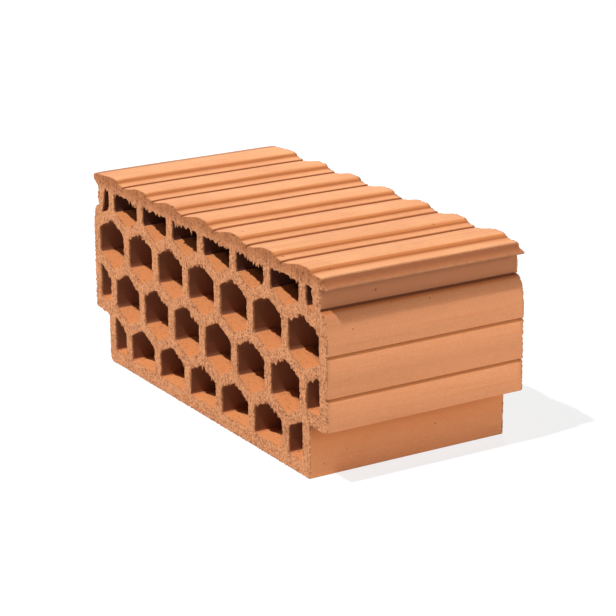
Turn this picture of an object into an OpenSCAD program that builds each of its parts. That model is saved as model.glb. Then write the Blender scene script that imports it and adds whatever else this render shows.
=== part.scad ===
// Clay ceiling block: one fired, extruded infill piece that hangs between floor beams.
// X runs across the block from beam to beam, Y along the extrusion, Z up.
// The origin is the middle of the flat foot, so the block stands on Z = 0.

/* [Overall size] */
// width from side bulge to side bulge
block_w = 525; // [450:1:640]
// length along the extrusion, from cut face to cut face
block_l = 250; // [200:1:333]
// height from the foot to the ridge crests
block_h = 230; // [190:1:280]

/* [Foot and bearing ledges] */
// width of the foot that hangs between the beams
foot_w = 457; // [380:1:500]
// height of the bearing ledges above the foot
ledge_h = 60; // [48:1:72]
// rounding of the lower left foot corner
foot_r = 9; // [2:0.5:14]
// rounding of the sharper lower right foot corner
sharp_r = 2.5; // [1:0.5:9]
// rounding of the outer ledge corner
ledge_r = 5; // [1:0.5:9]
// rounding of the inner ledge corner
ledge_in_r = 3; // [1:0.5:6]

/* [Sides] */
// width across the recessed neck under the lips
neck_w = 500; // [416:1:510]
// depth of the neck foot below the ridge crests
neck_drop = 41; // [34:0.5:50]
// how far the neck leans in under its lip
neck_lean = 2.4; // [0:0.2:4]
// height of the slit between neck and shoulder
slit_w = 3; // [1:0.2:4]
// depth of that slit
slit_d = 3; // [1:0.2:4]
// height of the rounded shoulder between neck and bulge
shoulder_h = 33; // [20:0.5:42]
// height of the lower side groove above the ledge
groove_low = 37; // [30:0.5:46]
// width of a side groove
groove_w = 2.6; // [1:0.2:5]
// depth of a side groove
groove_d = 2.2; // [0.5:0.1:3]

/* [Top lips] */
// depth of the lip underside below the ridge crests, at the neck
lip_drop = 17.6; // [15:0.2:22]
// reach of the flared right lip beyond the neck
lip_reach = 11.6; // [6:0.2:12]
// thickness of the right lip at its tip
lip_tip = 1.8; // [1:0.1:4]
// height of the upright edge band above the right lip
lip_band = 5; // [2:0.2:6]
// reach of the blunt left lip beyond the neck
blunt_reach = 10; // [6:0.2:12]
// height of the outer face of the blunt left lip
blunt_face = 7.5; // [4:0.5:9]
// height of the left top corner above a valley
blunt_rise = 3.4; // [1:0.2:5]

/* [Ribbed top] */
// height of a ridge crest above its valley
ridge_rise = 6.4; // [3:0.2:8]
// run of the rising land from the valley to the crest
land_run = 35.5; // [28:0.5:42]
// distance from the valley to the crest nose
nose_run = 52; // [46:0.5:58]
// width of the steep step behind the nose
step_run = 3.6; // [1:0.1:5]
// height of the low shelf behind the step, above the valley
shelf_rise = 2.3; // [1:0.1:4]
// width of the narrow crease at the bottom of a valley
crease_w = 3; // [1:0.1:4]
// depth of the crease
crease_d = 2.2; // [0.4:0.1:3]
// width beside each lip that the ridges leave plain
edge_flat = 9; // [5:1:14]
// sideways shift of the whole ridge pattern
ridge_shift = -4.5; // [-8:0.5:8]

/* [Honeycomb] */
// whole cells across the widest row
cells_across = 7; // [6:1:8]
// rows of cells between the two slabs
row_count = 4; // [3:1:5]
// extra width of the two cells that end the widest row
end_extra = 3.8; // [0:0.2:6]
// thickness of the upright webs
web = 13.4; // [9:0.2:17]
// vertical thickness of the sloping webs
slope_web = 13.8; // [9:0.2:16]
// slope of the cell roofs and floors, in degrees
roof_angle = 24.4; // [15:0.2:30]
// height of the upright walls in the lowest row
low_wall = 32.3; // [26:0.1:38]
// height of the upright walls in the top row
top_wall = 23.5; // [16:0.1:28]
// thickness of the bottom slab
bottom_slab = 15.3; // [11:0.1:19]
// thickness of the top slab under a valley
top_slab = 10.5; // [8:0.5:14]
// thickness of the outer walls beside the cells
shell = 14.4; // [10:0.2:17]
// thickness of the neck wall at the ceiling of the top row
neck_wall = 18; // [12:0.5:21]
// how much that wall thins towards the shoulder
neck_taper = 7.8; // [0:0.2:9]
// narrowest cell that is still left open
min_cell = 6; // [4:1:9]
// rounding of the cell corners
cell_r = 4; // [1:0.5:6]

/* [Hidden] */
clay = [0.82, 0.52, 0.36];

bulge_x = block_w / 2;
foot_x = foot_w / 2;
neck_x = neck_w / 2;
valley_z = block_h - ridge_rise;
neck_z = block_h - neck_drop;
lip_z = block_h - lip_drop;
// grooves: one above the ledge, one halfway from there to the neck
groove_1 = ledge_h + groove_low;
groove_2 = (groove_1 + neck_z) / 2;
round_h = min(shoulder_h, neck_z - groove_2 - groove_w);
// upper corner of the right lip, and the height of the top there
edge_x = neck_x + 0.8;
edge_z = valley_z + shelf_rise * 0.6;

// cells: their pitch fills the width, their rows fill the height
slope = tan(roof_angle);
cell_pitch = (block_w - 2 * shell + web - 2 * end_extra) / cells_across;
cell_half = (cell_pitch - web) / 2;
roof_rise = slope * cell_half;
ceiling_z = valley_z - top_slab;
low_roof = bottom_slab + low_wall;
junction = slope * (cell_pitch / 2 - web) + slope_web;
row_pitch = (ceiling_z - top_wall - low_roof - junction) / (row_count - 2);
wall_h = row_pitch - junction;
inner_x = bulge_x - shell;
foot_inner_x = foot_x - shell;
ledge_floor = ledge_h + shell;

// curve that rounds the corner p of a path a, p, b, leaving it at distance r
function bend(a, p, b, r, n) = let(
    u = (a - p) / norm(a - p),
    v = (b - p) / norm(b - p),
    s = p + u * r,
    e = p + v * r
  ) [for (k = [0:n]) let(t = k / n) s * (1 - t) * (1 - t) + p * 2 * t * (1 - t) + e * t * t];

// distance that still fits between a corner and both its neighbours
function fit(a, p, b, r) = min(r, norm(a - p) / 2.2, norm(b - p) / 2.2);

// the same closed path with every corner rounded
function soften(pts, r, n) = let(c = len(pts)) [
    for (i = [0:c - 1]) let(a = pts[(i + c - 1) % c], p = pts[i], b = pts[(i + 1) % c])
      each bend(a, p, b, fit(a, p, b, r), n)
  ];

// a V groove in an upright side at height z, listed upwards
function groove(z) = [
  [bulge_x, z - groove_w],
  [bulge_x - groove_d, z],
  [bulge_x - groove_d * 0.3, z + groove_w * 0.3],
  [bulge_x, z + groove_w * 0.6]
];

// rounded shoulder from the bulge up to the neck, a quarter of an ellipse
function shoulder(n) = [for (k = [0:n]) let(a = 90 * k / n)
  [neck_x + (bulge_x - neck_x) * cos(a), neck_z - round_h + round_h * sin(a)]];

// flared lip that ends the top on the right, listed upwards
flared_lip = [
  [neck_x - neck_lean, lip_z],
  [neck_x + lip_reach, lip_z + lip_tip * 1.3],
  [neck_x + lip_reach + 0.3, lip_z + lip_tip * 2.3],
  [edge_x + 0.8, edge_z - lip_band],
  [edge_x, edge_z - 1],
  [edge_x - 1.6, edge_z]
];

// blunt lip that ends the top on the left, listed upwards as if it stood on the right
blunt_lip = let(x = neck_x + blunt_reach, z = valley_z + blunt_rise) [
  [neck_x - neck_lean, lip_z],
  [x - 1.4, z - blunt_face],
  [x, z - blunt_face * 0.45],
  [x - 0.6, z - 1],
  [x - 2.2, z]
];

// one side from the foot, whose corner is rounded by r, up to its lip
function side(r, lip) = concat(
  bend([0, 0], [foot_x, 0], [foot_x, ledge_h], r, 5),
  bend([foot_x, 0], [foot_x, ledge_h], [bulge_x, ledge_h], ledge_in_r, 3),
  bend([foot_x, ledge_h], [bulge_x, ledge_h], [bulge_x, neck_z], ledge_r, 4),
  groove(groove_1),
  groove(groove_2),
  shoulder(9),
  [
    [neck_x - slit_d, neck_z + slit_w * 0.3],
    [neck_x - slit_d, neck_z + slit_w * 0.65],
    [neck_x, neck_z + slit_w],
    [neck_x - neck_lean * 0.2, (neck_z + lip_z) / 2]
  ],
  lip
);

// one saw-toothed ridge from the valley at x, with heights above the valley
function ridge(x) = [
  [x, 0],
  [x + land_run * 0.28, ridge_rise * 0.2],
  [x + land_run * 0.75, ridge_rise * 0.84],
  [x + land_run, ridge_rise],
  [x + nose_run - 2.6, ridge_rise],
  [x + nose_run, ridge_rise * 0.86],
  [x + nose_run + step_run, shelf_rise],
  [x + cell_pitch - crease_w, shelf_rise * 0.35],
  [x + cell_pitch - crease_w * 0.7, -crease_d],
  [x + cell_pitch - crease_w * 0.4, -crease_d]
];

// all ridge points clear of the plain strips beside the lips, one ridge over each cell
function crown() = let(first = ridge_shift - cell_pitch * cells_across / 2) [
    for (i = [-1:cells_across], p = ridge(first + i * cell_pitch))
      if (abs(p[0]) < edge_x - edge_flat) [p[0], valley_z + p[1]]
  ];

function reversed(pts) = [for (i = [len(pts) - 1:-1:0]) pts[i]];
function mirrored(pts) = [for (p = reversed(pts)) [-p[0], p[1]]];

module outer_profile() {
  polygon(concat(side(sharp_r, flared_lip), reversed(crown()), mirrored(side(foot_r, blunt_lip))));
}

// Cell around x = cx whose right-hand wall runs from x = low_x at the floor to x = top_x at
// the roof. roof is the height where its upright walls end, floor_z and roof_z cut it flat.
function cell(cx, roof, low_x, top_x, floor_z, roof_z) = let(
    xa = cx - cell_half,
    base = roof - wall_h,
    peak_z = roof + roof_rise,
    dip_z = base - roof_rise,
    peaked = top_x > cx + 1 && peak_z < roof_z,
    dipped = low_x > cx + 1 && dip_z > floor_z
  ) concat(
    [[xa, max(base, floor_z)]],
    dipped ? [[cx, dip_z]] : [],
    [[low_x, max(dip_z + slope * abs(low_x - cx), floor_z)]],
    [[top_x, min(peak_z - slope * abs(top_x - cx), roof_z)]],
    peaked ? [[cx, peak_z]] : [],
    [[xa, min(roof, roof_z)]]
  );

// Right half of row k, from the cell at or next to the middle to the outer wall, which
// stands at x = low_x at the floor and x = top_x at the roof.
module half_row(k, low_x, top_x, floor_z, roof_z) {
  roof = low_roof + k * row_pitch;
  odd = (k + row_count + cells_across) % 2;
  for (i = [0:cells_across]) {
    cx = (i + (odd == 0 ? 0.5 : 0)) * cell_pitch;
    xa = cx - cell_half;
    last = cx + cell_half + web + min_cell > top_x;
    over_ledge = k > 0 && (last ? low_x : cx + cell_half) > foot_inner_x;
    if (xa + min_cell < top_x)
      polygon(soften(cell(cx, roof, last ? low_x : cx + cell_half, last ? top_x : cx + cell_half,
                          over_ledge ? max(floor_z, ledge_floor) : floor_z, roof_z), cell_r, 3));
  }
}

module row(k, low_x, top_x, floor_z, roof_z) {
  for (s = [-1, 1]) scale([s, 1]) half_row(k, low_x, top_x, floor_z, roof_z);
}

module cells() {
  top_row = row_count - 1;
  // the lowest row fills the foot and has flat floors
  row(0, foot_inner_x, foot_inner_x, bottom_slab, block_h);
  // the middle rows reach from side to side
  for (k = [1:top_row - 1]) row(k, inner_x, inner_x, 0, block_h);
  // the top row has flat ceilings, and its outer walls lean in under the neck
  row(top_row, neck_x - neck_wall + neck_taper, neck_x - neck_wall, 0, ceiling_z);
}

module ceiling_block() {
  color(clay)
    translate([0, block_l / 2, 0]) rotate([90, 0, 0])
      linear_extrude(height = block_l) difference() {
        outer_profile();
        cells();
      }
}

ceiling_block();
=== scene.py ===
"""Looks of a fired clay ceiling block: extruded, wire-cut, with a honeycomb of cells."""

import math

import bmesh
import bpy
from mathutils import Matrix, Vector, noise
from mathutils.bvhtree import BVHTree


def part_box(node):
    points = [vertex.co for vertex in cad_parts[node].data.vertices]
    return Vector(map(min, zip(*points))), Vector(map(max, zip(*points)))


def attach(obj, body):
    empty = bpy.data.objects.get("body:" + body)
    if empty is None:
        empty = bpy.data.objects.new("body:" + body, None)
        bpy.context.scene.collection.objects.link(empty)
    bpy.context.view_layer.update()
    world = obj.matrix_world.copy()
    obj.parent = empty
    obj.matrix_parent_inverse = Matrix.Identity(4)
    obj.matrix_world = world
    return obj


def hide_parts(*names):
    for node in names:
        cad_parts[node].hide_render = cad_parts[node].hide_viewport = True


bl_info = {
    "name": "Clay ceiling block",
    "version": (1, 0, 0),
    "blender": (4, 5, 0),
    "location": "View3D > Sidebar > Ceiling block",
    "description": "Fired clay ceiling block with torn cut faces, on a pale studio floor",
    "category": "Object",
}

NODE = "ceiling_block"
PIECE = "ceiling_block_clay"
MM = 0.001

# edges that turn by more than this stay crisp
CREASE_ANGLE = math.radians(24)
# a point looks this far for walls that shelter it, in a fan of this many looks that opens
# this many degrees to either side
SHELTER_REACH = 22 * MM
FAN = 31
FAN_HALF_ANGLE = 87
# width of the strips that the top is cut into
TOP_SPACING = 3 * MM
# depth of the finely cut band behind each cut face, which no tear may reach through
END_BAND = 4.5 * MM
# rings of points behind each cut, and their spacing along the rest of the block
END_RINGS = (END_BAND, 8 * MM, 13 * MM, 20 * MM, 32 * MM)
RING_SPACING = 24 * MM
# how far below its highest ridge the top still counts as the top
TOP_SKIN = 12 * MM
MOST_FACES = 200000

# heights above the foot at which the look of the clay changes, from none to all
FOOT = (56 * MM, 62 * MM)
# the painted shadow of the lip on the shoulder fades in over these heights
SHOULDER = (158 * MM, 186 * MM)
TOP_CELL_SHADE = (170 * MM, 180 * MM)
SLIT = (189 * MM, 191 * MM)
LIP = (210 * MM, 213 * MM)
LIP_UNDERSIDE = (211 * MM, 214 * MM)
TOP = (208 * MM, 224 * MM)
# distances from the middle plane at which the lip begins, and from a cut at which a change ends
LIP_SIDE = (247.5 * MM, 250 * MM)
CUT_EDGE = (1.5 * MM, 4 * MM)
LIT_FLOOR_END = (20 * MM, 34 * MM)

# where the key shines to, how wide it looks, and the place and size of each soft lamp
KEY_DIRECTION = (-0.043, 0.46, -0.88)
KEY_ANGLE = math.radians(1.5)
SOFT_LAMPS = {
    "side": ((2.6, 1.7, 0.98), 1.6),
    "back": ((-1.5, 1.0, 1.25), 0.5),
    "front": ((-0.5, -1.9, 0.35), 0.8),
}
SENSOR_WIDTH = 36
FLOOR_SIZE = 20.0
# the floor lies a hair below the foot, so that the two never share a plane
FLOOR_DROP = 0.1 * MM

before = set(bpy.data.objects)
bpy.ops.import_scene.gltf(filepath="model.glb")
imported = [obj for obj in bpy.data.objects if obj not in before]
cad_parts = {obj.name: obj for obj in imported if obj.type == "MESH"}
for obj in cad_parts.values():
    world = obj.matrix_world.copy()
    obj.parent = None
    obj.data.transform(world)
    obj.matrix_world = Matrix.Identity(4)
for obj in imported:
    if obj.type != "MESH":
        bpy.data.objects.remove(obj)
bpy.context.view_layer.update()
LOW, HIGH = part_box(NODE)
BLOCK_MIDDLE = (Vector(LOW) + Vector(HIGH)) / 2
HALF_LENGTH = (HIGH[1] - LOW[1]) / 2

# sockets of the colour Mix node, which share their names
MIX_FACTOR, MIX_A, MIX_B, MIX_RESULT = 0, 6, 7, 2


# ---------------------------------------------------------------- settings


class BlockSettings(bpy.types.PropertyGroup):
    """Sizes and colours of the clay."""

    cut_grain: bpy.props.FloatProperty(
        name="Cut face grain", description="Spacing of the relief on the cut faces",
        default=2.0 * MM, min=1.5 * MM, max=8 * MM, unit="LENGTH")
    cut_relief: bpy.props.FloatProperty(
        name="Cut relief", description="Depth of the torn relief on the cut faces",
        default=1.6 * MM, min=0.0, max=3 * MM, unit="LENGTH")
    burr: bpy.props.FloatProperty(
        name="Burr", description="Longest burr on a sloping cell roof; flat roofs get half more",
        default=5.0 * MM, min=0.0, max=10 * MM, unit="LENGTH")
    waviness: bpy.props.FloatProperty(
        name="Waviness", description="How far the extruded faces wander inwards",
        default=0.5 * MM, min=0.0, max=1.5 * MM, unit="LENGTH")
    end_dip: bpy.props.FloatProperty(
        name="End dip", description="How far the wire pulled the top down at the front cut",
        default=0.9 * MM, min=0.0, max=4 * MM, unit="LENGTH")
    clay: bpy.props.FloatVectorProperty(
        name="Clay", description="Colour of the smooth extruded faces",
        subtype="COLOR", size=3, min=0, max=1, default=(0.64, 0.256, 0.112))
    # the pale clay is the dry bloom, and on the top it is also painted light
    pale_clay: bpy.props.FloatVectorProperty(
        name="Pale clay", description="Colour of the dry bloom on the clay",
        subtype="COLOR", size=3, min=0, max=1, default=(0.77, 0.362, 0.162))
    # the rich clay is also painted as shade into sheltered places
    rich_clay: bpy.props.FloatVectorProperty(
        name="Rich clay", description="Colour of sheltered clay, without the dry bloom",
        subtype="COLOR", size=3, min=0, max=1, default=(0.56, 0.19, 0.058))
    # the deep clay marks pits, gaps and combing, and is also painted as shade into creases, on the
    # shoulder, on the lips and inside the cells
    deep_clay: bpy.props.FloatVectorProperty(
        name="Deep clay", description="Colour of pits, creases and drag lines",
        subtype="COLOR", size=3, min=0, max=1, default=(0.21, 0.06, 0.02))
    # painted shade: the walls inside the cells are this dark colour
    cell_shade_clay: bpy.props.FloatVectorProperty(
        name="Core clay", description="Colour of the smoked walls inside the cells",
        subtype="COLOR", size=3, min=0, max=1, default=(0.26, 0.095, 0.045))
    # painted shade: the top row of cells is darker still
    darkest_cell_shade: bpy.props.FloatVectorProperty(
        name="Soot", description="Colour of the darkest cells, in the top row",
        subtype="COLOR", size=3, min=0, max=1, default=(0.06, 0.016, 0.008))
    # a grey painted as shade on the neck under the lip and on the lips
    painted_shade: bpy.props.FloatVectorProperty(
        name="Grime", description="Colour of the grime on the neck and the lip",
        subtype="COLOR", size=3, min=0, max=1, default=(0.125, 0.08, 0.065))
    # partly painted light: the floors by the cuts are this bright clay where the light falls in
    crumb_and_lit_floor_clay: bpy.props.FloatVectorProperty(
        name="Crumb clay", description="Colour of the crumbs on the cell floors by the cuts",
        subtype="COLOR", size=3, min=0, max=1, default=(0.76, 0.28, 0.10))


class StageSettings(bpy.types.PropertyGroup):
    """Camera, lamps and floor."""

    camera_place: bpy.props.FloatVectorProperty(
        name="Camera place", description="Where the camera stands",
        subtype="TRANSLATION", size=3, unit="LENGTH", default=(2.129, -1.2874, 0.8961))
    camera_turn: bpy.props.FloatProperty(
        name="Camera turn", description="How far the view is turned from +Y towards -X",
        subtype="ANGLE", default=math.radians(58.55))
    camera_dip: bpy.props.FloatProperty(
        name="Camera dip", description="How far the view looks down",
        subtype="ANGLE", default=math.radians(17.63))
    camera_roll: bpy.props.FloatProperty(
        name="Camera roll", description="How far the camera is rolled",
        subtype="ANGLE", default=math.radians(-0.38))
    lens: bpy.props.FloatProperty(
        name="Lens", description="Focal length in millimetres", default=134.12, min=10)
    key_power: bpy.props.FloatProperty(
        name="Key", description="Strength of the crisp lamp above the front", default=3.2, min=0)
    side_power: bpy.props.FloatProperty(
        name="Side", description="Power of the soft lamp on the right", default=60.0, min=0)
    back_power: bpy.props.FloatProperty(
        name="Back", description="Power of the soft lamp behind the left", default=17.0, min=0)
    front_power: bpy.props.FloatProperty(
        name="Front", description="Power of the soft lamp before the left", default=17.0, min=0)
    sky_power: bpy.props.FloatProperty(
        name="Sky", description="Strength of the even light all round", default=0.04, min=0)


# ---------------------------------------------------------------- shader maths


class Value:
    """A number socket that can be written in expressions."""

    def __init__(self, maker, socket):
        self.maker = maker
        self.socket = socket

    def _math(self, operation, a, b=None):
        values = {0: a} if b is None else {0: a, 1: b}
        return self.maker.add("ShaderNodeMath", {"operation": operation}, values)

    def __add__(self, other):
        return self._math("ADD", self, other)

    __radd__ = __add__

    def __mul__(self, other):
        return self._math("MULTIPLY", self, other)

    __rmul__ = __mul__

    def __sub__(self, other):
        return self._math("SUBTRACT", self, other)

    def __rsub__(self, other):
        return self._math("SUBTRACT", other, self)

    def __abs__(self):
        return self._math("ABSOLUTE", self)


class Maker:
    """Adds the nodes of one material or world."""

    def __init__(self, tree):
        tree.nodes.clear()
        self.tree = tree

    def add(self, kind, settings=None, values=None, out=0):
        """Adds a node: its settings first, then the values or links of its sockets."""
        node = self.tree.nodes.new(kind)
        for name, value in (settings or {}).items():
            setattr(node, name, value)
        for key, value in (values or {}).items():
            if isinstance(value, Value):
                self.tree.links.new(value.socket, node.inputs[key])
            else:
                node.inputs[key].default_value = value
        return Value(self, node.outputs[out]) if node.outputs else node

    def step(self, value, low, high):
        """A smooth 0 to 1 step of a value between low and high."""
        return self.add("ShaderNodeMapRange", {"interpolation_type": "SMOOTHSTEP"},
                        {"Value": value, "From Min": low, "From Max": high})

    def mix(self, amount, a, b):
        """Colour a turning into colour b."""
        return self.add("ShaderNodeMix", {"data_type": "RGBA"}, {
            MIX_FACTOR: amount, MIX_A: a, MIX_B: b}, out=MIX_RESULT)

    def noise(self, place, scale, detail=3.0, roughness=0.55):
        """Cloudy noise from 0 to 1."""
        return self.add("ShaderNodeTexNoise", {}, {
            "Vector": place, "Scale": scale, "Detail": detail, "Roughness": roughness})

    def stretched(self, place, scale):
        """The same coordinates, stretched per axis."""
        return self.add("ShaderNodeMapping", {}, {"Vector": place, "Scale": scale})


def rgba(colour):
    """The colour with full opacity."""
    return (*colour, 1.0)


def clay_material(settings):
    """Fired clay: drag lines along the extruded faces, torn and pitted cut faces."""
    material = bpy.data.materials.new("fired_clay")
    material.use_nodes = True
    make = Maker(material.node_tree)
    place = make.add("ShaderNodeTexCoord", out="Object")
    across, along, height_up = (
        make.add("ShaderNodeSeparateXYZ", {}, {"Vector": place}, out=axis) for axis in "XYZ")
    hollow, inside, floor, torn_face = (
        make.add("ShaderNodeAttribute", {"attribute_name": name}, out="Fac")
        for name in ("hollow", "inside", "floor", "torn"))
    clay, pale, rich, deep, cell_shade = (rgba(colour) for colour in (
        settings.clay, settings.pale_clay, settings.rich_clay,
        settings.deep_clay, settings.cell_shade_clay))

    # 1 on the two cut faces and their rims, 0 on everything that passed through the die
    rim = make.step(abs(along), HALF_LENGTH - CUT_EDGE[1], HALF_LENGTH - CUT_EDGE[0])
    cut = 1 - (1 - rim) * (1 - torn_face)

    # faces that passed through the die: bloom, painted light on the top, drag lines, fine sand and
    # a few open pores
    cloud = make.noise(place, 14.0, 4.0)
    sand = make.noise(place, 620.0, 2.0, 0.7)
    drag = make.noise(make.stretched(place, (300.0, 6.0, 300.0)), 1.0, 3.0, 0.65)
    hair = make.noise(make.stretched(place, (900.0, 14.0, 900.0)), 1.0, 2.0, 0.6)
    open_pore = make.add("ShaderNodeTexVoronoi", {"feature": "F1"}, {
        "Vector": place, "Scale": 60.0})
    sparse = make.step(make.noise(place, 31.0), 0.46, 0.56)
    specks = (1 - make.step(open_pore, 0.03, 0.09)) * sparse * (1 - cut) * (1 - inside)
    top = make.step(height_up, *TOP)
    foot = 1 - make.step(height_up, *FOOT)
    # the top is painted paler: partly dry bloom, partly painted light where the top gets the most
    # light
    smooth = make.mix(make.step(cloud, 0.25, 0.8) * (0.15 + top * 0.5) + top * 0.35, clay, pale)
    smooth = make.mix(foot * 0.35, smooth, rich)
    smooth = make.mix(make.step(sand, 0.5, 0.74) * 0.35, smooth, pale)
    smooth = make.mix(make.step(sand, 0.5, 0.26) * 0.4, smooth, rich)
    drawn = make.step(drag, 0.5, 0.72) * (0.25 + top * 0.15)
    drawn = drawn + make.step(hair, 0.54, 0.76) * (0.2 + top * 0.1)
    smooth = make.mix(drawn, smooth, rich)

    # painted shade: the more sheltered a place is, the more it turns to the rich clay, and creases
    # and the hollows between the ridges on the top turn to the deep clay
    smooth = make.mix(make.step(hollow, 0.02, 0.13), smooth, rich)
    smooth = make.mix(make.step(hollow, 0.1, 0.165) * top * 0.52, smooth, deep)
    smooth = make.mix(make.step(hollow, 0.2, 0.52), smooth, deep)

    # painted shadow of the lip: the shoulder below the slit is darkened, and the neck above it,
    # under the lip, is painted a grey shade
    above_slit = make.step(height_up, *SLIT)
    below_lip = 1 - make.step(height_up, *LIP_UNDERSIDE)
    shoulder = make.step(height_up, *SHOULDER) * (1 - above_slit)
    smooth = make.mix(shoulder * 0.32, smooth, deep)
    smooth = make.mix(above_slit * below_lip * 0.42, smooth, rgba(settings.painted_shade))

    # painted shade: the lips are darkened towards the deep clay, unevenly in blotches, and greyed a
    # little with the painted grey
    lip = make.step(abs(across), *LIP_SIDE) * make.step(height_up, *LIP)
    blotches = make.step(make.noise(place, 120.0), 0.35, 0.7)
    smooth = make.mix(lip * (0.46 + blotches * 0.1), smooth, deep)
    smooth = make.mix(lip * 0.14, smooth, rgba(settings.painted_shade))

    # cells: walls painted dark as shade, darkest in the top row; the floors by the cuts are a
    # bright crumbly clay, partly painted light, about as far in as the light reaches
    wall = make.mix(make.step(cloud, 0.3, 0.7) * 0.4, cell_shade, deep)
    wall = make.mix(make.step(height_up, *TOP_CELL_SHADE) * 0.85, wall, rgba(settings.darkest_cell_shade))
    # the bright floor fades out about where the light stops reaching into the cells
    crumbs = floor * (1 - make.step(HALF_LENGTH - abs(along), *LIT_FLOOR_END))
    cell = make.mix(crumbs, wall, rgba(settings.crumb_and_lit_floor_clay))
    crumb = make.noise(place, 340.0, 3.0, 0.75)
    gaps = 1 - make.step(crumb, 0.34, 0.46)
    cell = make.mix(crumbs * gaps * 0.45, cell, deep)
    smooth = make.mix(inside, smooth, cell)

    # the cut faces: coarse crumbs, upright combing by the wire and pits
    fine = make.noise(place, 1000.0, 2.0, 0.7)
    comb = make.noise(make.stretched(place, (420.0, 300.0, 70.0)), 1.0, 3.0, 0.7)
    patch = make.step(make.noise(place, 75.0), 0.4, 0.56)
    pits = (1 - make.step(make.noise(place, 400.0, 2.0, 0.6), 0.36, 0.45)) * patch * cut
    torn = make.mix(make.step(crumb, 0.46, 0.62) * 0.9, clay, pale)
    torn = make.mix(gaps * 0.68, torn, deep)
    torn = make.mix(top * 0.6, torn, rich)
    torn = make.mix(make.step(comb, 0.5, 0.74) * (0.4 + top * 0.4) + top * 0.36, torn, deep)
    torn = make.mix(make.step(fine, 0.5, 0.78) * 0.3, torn, pale)
    colour = make.mix(cut, smooth, torn)
    colour = make.mix(pits * 0.6 + specks * 0.75, colour, deep)

    extruded = (drag - 0.5) * 0.35 + (hair - 0.5) * 0.2 + (sand - 0.5) * 0.35
    broken = (comb - 0.5) * 2.0 + (crumb - 0.5) * 3.6 + (fine - 0.5) * 0.8
    height = extruded * (1 - cut) + broken * cut - pits * 0.9 - specks * 1.0
    bump = make.add("ShaderNodeBump", {}, {
        "Height": height, "Strength": 1.0, "Distance": 0.9 * MM})
    surface = make.add("ShaderNodeBsdfPrincipled", {}, {
        "Base Color": colour, "Roughness": 0.82 + cut * 0.1, "Normal": bump,
        "Specular IOR Level": 0.25})
    make.add("ShaderNodeOutputMaterial", {}, {"Surface": surface})
    return material


# ---------------------------------------------------------------- the block


def slice_across(bm, normal, places, picked):
    """Cuts the picked faces by parallel planes at the given places."""
    edges = {e for f in picked for e in f.edges}
    verts = {v for e in edges for v in e.verts}
    geom = [*picked, *edges, *verts]
    for place in places:
        done = bmesh.ops.bisect_plane(bm, geom=geom, dist=1e-6,
                                      plane_co=Vector(normal) * place, plane_no=Vector(normal))
        geom = done["geom"]


def spaced(low, high, step):
    """Places between low and high, about a step apart."""
    count = max(1, round((high - low) / step))
    return [low + (high - low) * i / count for i in range(1, count)]


def end_rings():
    """Places along Y that get a ring of points: close together near the cuts."""
    inner = HALF_LENGTH - END_RINGS[-1]
    ends = [side * (HALF_LENGTH - depth) for depth in END_RINGS for side in (-1, 1)]
    return ends + spaced(-inner, inner, RING_SPACING)


def drop_diagonals(bm):
    """Joins the triangles of each flat strip, so its edges run only along or across the block."""
    slanting = [e for e in bm.edges
                if len(e.link_faces) == 2 and e.calc_face_angle(1.0) < 1e-3
                and abs(e.link_faces[0].normal.y) < 0.1
                and abs(e.verts[0].co.y - e.verts[1].co.y) > 1e-5]
    bmesh.ops.dissolve_edges(bm, edges=slanting, use_verts=False)


def section_key(vert):
    """Where a point lies in the section, whatever its place along the block."""
    return round(vert.co.x * 1e5), round(vert.co.z * 1e5)


def outlook(tree, key, out):
    """How sheltered a point of the section is, and whether it lies in a closed cell."""
    start = Vector((key[0] * 1e-5, 0, key[1] * 1e-5)) + out * 0.2 * MM
    near = closed = 0
    for step in range(FAN):
        angle = math.radians(-FAN_HALF_ANGLE + 2 * FAN_HALF_ANGLE * step / (FAN - 1))
        turn = Vector((out.x * math.cos(angle) - out.z * math.sin(angle), 0,
                       out.x * math.sin(angle) + out.z * math.cos(angle)))
        reach = tree.ray_cast(start, turn, 0.6)[3]
        if reach is not None:
            closed += 1
            near += max(0.0, 1 - reach / SHELTER_REACH)
    return near / FAN, closed == FAN


def mark_shelter(bm):
    """Stores on the mesh how sheltered the clay is, the cells, their floors and the cut faces."""
    tree = BVHTree.FromBMesh(bm)
    strips, leaning = {}, {}
    for face in bm.faces:
        ends = frozenset(section_key(v) for v in face.verts)
        if abs(face.normal.y) < 0.5 and len(ends) == 2 and ends not in strips:
            strips[ends] = face.normal.copy()
            for key in ends:
                leaning[key] = leaning.get(key, Vector()) + face.normal
    points = {key: outlook(tree, key, out.normalized())[0] for key, out in leaning.items()}
    middles = {ends: outlook(tree, [sum(v) / 2 for v in zip(*ends)], out)
               for ends, out in strips.items()}
    # how sheltered each point is, by which the clay is painted darker as shade
    hollow = bm.loops.layers.float.new("hollow")
    inside = bm.loops.layers.float.new("inside")
    floor = bm.loops.layers.float.new("floor")
    torn = bm.loops.layers.float.new("torn")
    for face in bm.faces:
        if abs(face.normal.y) > 0.5:
            for loop in face.loops:
                loop[torn] = 1.0
            continue
        ends = frozenset(section_key(v) for v in face.verts)
        if ends not in middles:
            raise RuntimeError("a strip of the block has no shelter value")
        near, closed = middles[ends]
        for loop in face.loops:
            loop[hollow] = 0.65 * near + 0.35 * points[section_key(loop.vert)]
            loop[inside] = float(closed)
            loop[floor] = float(closed and strips[ends].z > 0.6)


def face_noise(x, z, side, across, upwards, seed):
    """Noise from -1 to 1 over a cut face, as fine across and upwards as asked."""
    return noise.noise(Vector((x * across, side * seed, z * upwards)))


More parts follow.
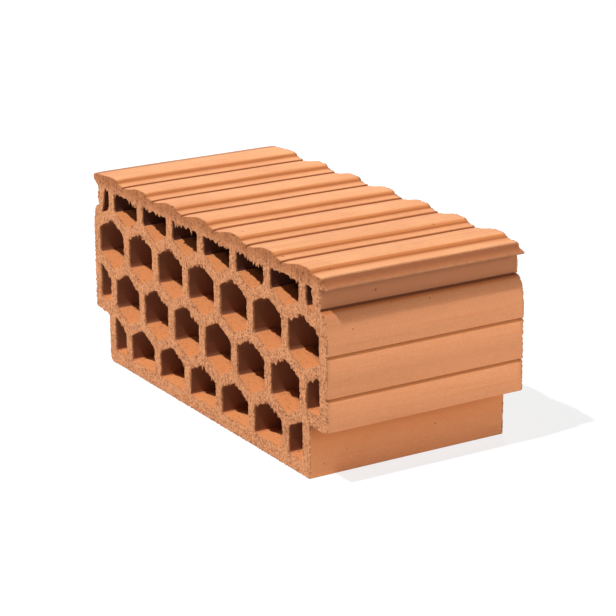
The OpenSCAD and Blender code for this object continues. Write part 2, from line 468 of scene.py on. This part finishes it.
def tear_cut_faces(bm, settings):
    """Gives the cut faces a torn relief and hangs burrs from the roofs of the cells."""
    relief = settings.cut_relief
    for vert in bm.verts:
        side = 1 if vert.co.y > 0 else -1
        if abs(abs(vert.co.y) - HALF_LENGTH) > 1e-5:
            continue
        x, z = vert.co.x, vert.co.z
        walls = [f.normal.z for f in vert.link_faces if abs(f.normal.y) < 0.5]

        # crumbs and upright streaks all over
        rough = 0.5 + 0.5 * face_noise(x, z, side, 260, 260, 9.0)
        streak = 0.5 + 0.5 * face_noise(x, z, side, 380, 70, 4.0)
        depth = relief * (0.6 * rough + 0.4 * streak)

        # chips along every rim
        if walls:
            chip = max(0.0, 0.2 + face_noise(x, z, side, 480, 480, 27.0))
            depth += relief * min(1.0, 1.5 * chip)

        # burrs from the roofs of the cells, longest from the flat ones
        roof = walls and max(walls) < -0.8 and z > LOW[2] + 12 * MM
        if roof and abs(x) < HIGH[0] - 14 * MM:
            teeth = max(0.0, 0.15 + face_noise(x, z, side, 330, 20, 21.0))
            patch = max(0.0, 0.45 + face_noise(x, z, side, 30, 24, 33.0))
            longest = settings.burr * (1.5 if min(walls) < -0.97 else 1.0)
            vert.co.z -= longest * min(1.0, 2.0 * teeth * patch)

        # larger bites from the top edge and the bottom edge
        if walls and (z > HIGH[2] - TOP_SKIN or z < LOW[2] + 1e-5):
            ragged = max(0.0, 0.15 + face_noise(x, z, side, 700, 5, 14.0))
            depth += (2.2 if z > BLOCK_MIDDLE.z else 1.2) * relief * ragged

        # never as deep as the first ring, so that no facet folds over
        vert.co.y -= side * min(depth, END_BAND - 0.5 * MM)


def ramp(value, low, high):
    """0 up to low, 1 from high on, and even in between."""
    return min(1.0, max(0.0, (value - low) / (high - low)))


def wander(bm, settings):
    """Lets the outer faces wander slightly inwards, and the top dip towards the cuts."""
    middle = (LOW[2] + HIGH[2]) / 2
    for vert in bm.verts:
        x, y, z = vert.co
        push = settings.waviness * (0.5 + 0.5 * noise.noise(Vector((x * 9, y * 14, z * 9))))
        near = max(0.0, 1 - (HALF_LENGTH - abs(y)) / (20 * MM))
        dip = settings.end_dip * (1.0 if y < 0 else 0.5) * near * near
        high_up = ramp(z, HIGH[2] - 24 * MM, HIGH[2] - 10 * MM)
        vert.co.x -= math.copysign(push * ramp(abs(x), HIGH[0] - 40 * MM, HIGH[0] - 15 * MM), x)
        vert.co.z -= push * max(high_up, 0.4 * ramp(z, middle, middle + 40 * MM)) + dip * high_up


class CEILING_OT_block(bpy.types.Operator):
    """Make the clay block from its frame, with its torn cut faces"""

    bl_idname = "ceiling.block"
    bl_label = "Clay block"

    def execute(self, context):
        settings = context.scene.ceiling_block
        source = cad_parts[NODE]
        bm = bmesh.new()
        bm.from_mesh(source.data)
        bmesh.ops.remove_doubles(bm, verts=bm.verts, dist=1e-6)
        bm.normal_update()
        drop_diagonals(bm)
        top = HIGH[2] - TOP_SKIN

        def end_faces():
            return [f for f in bm.faces
                    if abs(f.calc_center_median().y) > HALF_LENGTH - END_BAND]

        def top_faces():
            return [f for f in bm.faces
                    if f.normal.z > 0.3 and min(v.co.z for v in f.verts) > top]

        slice_across(bm, (0, 1, 0), end_rings(), bm.faces[:])
        bm.normal_update()
        slice_across(bm, (1, 0, 0), spaced(LOW[0], HIGH[0], TOP_SPACING), top_faces())
        bm.normal_update()
        mark_shelter(bm)
        # every point on a rim gets its own partner on the first ring, so no facet can fold
        slice_across(bm, (1, 0, 0), spaced(LOW[0], HIGH[0], settings.cut_grain), end_faces())
        slice_across(bm, (0, 0, 1), spaced(LOW[2], HIGH[2], settings.cut_grain), end_faces())
        bmesh.ops.triangulate(bm, faces=bm.faces[:])
        bm.normal_update()
        wander(bm, settings)
        tear_cut_faces(bm, settings)
        bm.normal_update()
        for face in bm.faces:
            face.smooth = True
        mesh = bpy.data.meshes.new(PIECE)
        bm.to_mesh(mesh)
        bm.free()
        mesh.set_sharp_from_angle(angle=CREASE_ANGLE)
        if len(mesh.polygons) > MOST_FACES:
            raise RuntimeError("the block has too many faces: raise its cut face grain")
        mesh.materials.append(clay_material(settings))
        piece = bpy.data.objects.new(PIECE, mesh)
        context.scene.collection.objects.link(piece)
        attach(piece, "root")
        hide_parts(NODE)
        return {"FINISHED"}


# ---------------------------------------------------------------- the stage


def camera_matrix(settings):
    """Where the camera stands and how it is turned."""
    turn, dip, roll = -settings.camera_turn, settings.camera_dip, settings.camera_roll
    ahead = Vector((math.sin(turn) * math.cos(dip), math.cos(turn) * math.cos(dip), -math.sin(dip)))
    level = Vector((math.cos(turn), -math.sin(turn), 0))
    above = level.cross(ahead)
    right = math.cos(roll) * level + math.sin(roll) * above
    up = -math.sin(roll) * level + math.cos(roll) * above
    turned = Matrix((right, up, -ahead)).transposed().to_4x4()
    return Matrix.Translation(settings.camera_place) @ turned


def seen_directly(make):
    """1 for what the camera sees itself, in a reflection or through glass, otherwise 0."""
    camera, glossy, through = (
        make.add("ShaderNodeLightPath", out=name)
        for name in ("Is Camera Ray", "Is Glossy Ray", "Is Transmission Ray"))
    return 1 - (1 - camera) * (1 - glossy) * (1 - through)


def floor_material():
    """White to the camera but for the shadow of the block, and a calm grey to everything else."""
    material = bpy.data.materials.new("pale_floor")
    material.use_nodes = True
    make = Maker(material.node_tree)
    calm = make.add("ShaderNodeBsdfDiffuse", {}, {"Color": (0.7, 0.7, 0.7, 1)})
    bright = make.add("ShaderNodeBsdfDiffuse", {}, {"Color": (0.86, 0.86, 0.86, 1)})
    white = make.add("ShaderNodeEmission", {}, {"Color": (1, 1, 1, 1), "Strength": 1.06})
    shown = make.add("ShaderNodeMixShader", {}, {0: 0.72, 1: bright, 2: white})
    both = make.add("ShaderNodeMixShader", {}, {0: seen_directly(make), 1: calm, 2: shown})
    make.add("ShaderNodeOutputMaterial", {}, {"Surface": both})
    return material


def make_world(context, strength):
    """Even light all round, white to the camera and in reflections."""
    world = bpy.data.worlds.new("studio")
    world.use_nodes = True
    make = Maker(world.node_tree)
    light = make.add("ShaderNodeBackground", {}, {"Color": (1, 1, 1, 1), "Strength": strength})
    white = make.add("ShaderNodeBackground", {}, {"Color": (1, 1, 1, 1), "Strength": 1.0})
    both = make.add("ShaderNodeMixShader", {}, {0: seen_directly(make), 1: light, 2: white})
    make.add("ShaderNodeOutputWorld", {}, {"Surface": both})
    context.scene.world = world


def soft_lamp(scene, name, place, power, size):
    """A square lamp that looks at the middle of the block."""
    light = bpy.data.lights.new(name, "AREA")
    light.energy = power
    light.size = size
    lamp = bpy.data.objects.new(name, light)
    lamp.location = place
    lamp.rotation_euler = (BLOCK_MIDDLE - Vector(place)).to_track_quat("-Z", "Y").to_euler()
    scene.collection.objects.link(lamp)


class CEILING_OT_stage(bpy.types.Operator):
    """Make the floor, the lamps and the camera"""

    bl_idname = "ceiling.stage"
    bl_label = "Stage"

    def execute(self, context):
        settings = context.scene.ceiling_stage
        scene = context.scene
        scene.view_settings.view_transform = "Standard"
        make_world(context, settings.sky_power)

        bm = bmesh.new()
        bmesh.ops.create_grid(bm, x_segments=1, y_segments=1, size=FLOOR_SIZE)
        mesh = bpy.data.meshes.new("floor")
        bmesh.ops.translate(bm, verts=bm.verts, vec=(0, 0, -FLOOR_DROP))
        bm.to_mesh(mesh)
        bm.free()
        mesh.materials.append(floor_material())
        floor = bpy.data.objects.new("floor", mesh)
        scene.collection.objects.link(floor)

        key = bpy.data.lights.new("key", "SUN")
        key.energy = settings.key_power
        key.angle = KEY_ANGLE
        lamp = bpy.data.objects.new("key", key)
        lamp.rotation_euler = Vector(KEY_DIRECTION).to_track_quat("-Z", "Y").to_euler()
        scene.collection.objects.link(lamp)

        for name, (place, size) in SOFT_LAMPS.items():
            soft_lamp(scene, name, place, getattr(settings, name + "_power"), size)

        camera = bpy.data.objects.new("camera", bpy.data.cameras.new("camera"))
        camera.data.lens = settings.lens
        camera.data.sensor_width = SENSOR_WIDTH
        camera.matrix_world = camera_matrix(settings)
        scene.collection.objects.link(camera)
        scene.camera = camera
        return {"FINISHED"}


class CEILING_PT_panel(bpy.types.Panel):
    """Buttons that make the block and its stage"""

    bl_idname = "CEILING_PT_panel"
    bl_label = "Ceiling block"
    bl_space_type = "VIEW_3D"
    bl_region_type = "UI"
    bl_category = "Ceiling block"

    def draw(self, context):
        for group in (context.scene.ceiling_block, context.scene.ceiling_stage):
            for name in type(group).__annotations__:
                self.layout.prop(group, name)
        self.layout.operator(CEILING_OT_block.bl_idname)
        self.layout.operator(CEILING_OT_stage.bl_idname)


CLASSES = (BlockSettings, StageSettings, CEILING_OT_block, CEILING_OT_stage, CEILING_PT_panel)


def register():
    for cls in CLASSES:
        bpy.utils.register_class(cls)
    bpy.types.Scene.ceiling_block = bpy.props.PointerProperty(type=BlockSettings)
    bpy.types.Scene.ceiling_stage = bpy.props.PointerProperty(type=StageSettings)


def unregister():
    del bpy.types.Scene.ceiling_stage
    del bpy.types.Scene.ceiling_block
    for cls in reversed(CLASSES):
        bpy.utils.unregister_class(cls)


def main():
    register()
    bpy.ops.ceiling.stage()
    bpy.ops.ceiling.block()


if __name__ == "__main__":
    main()
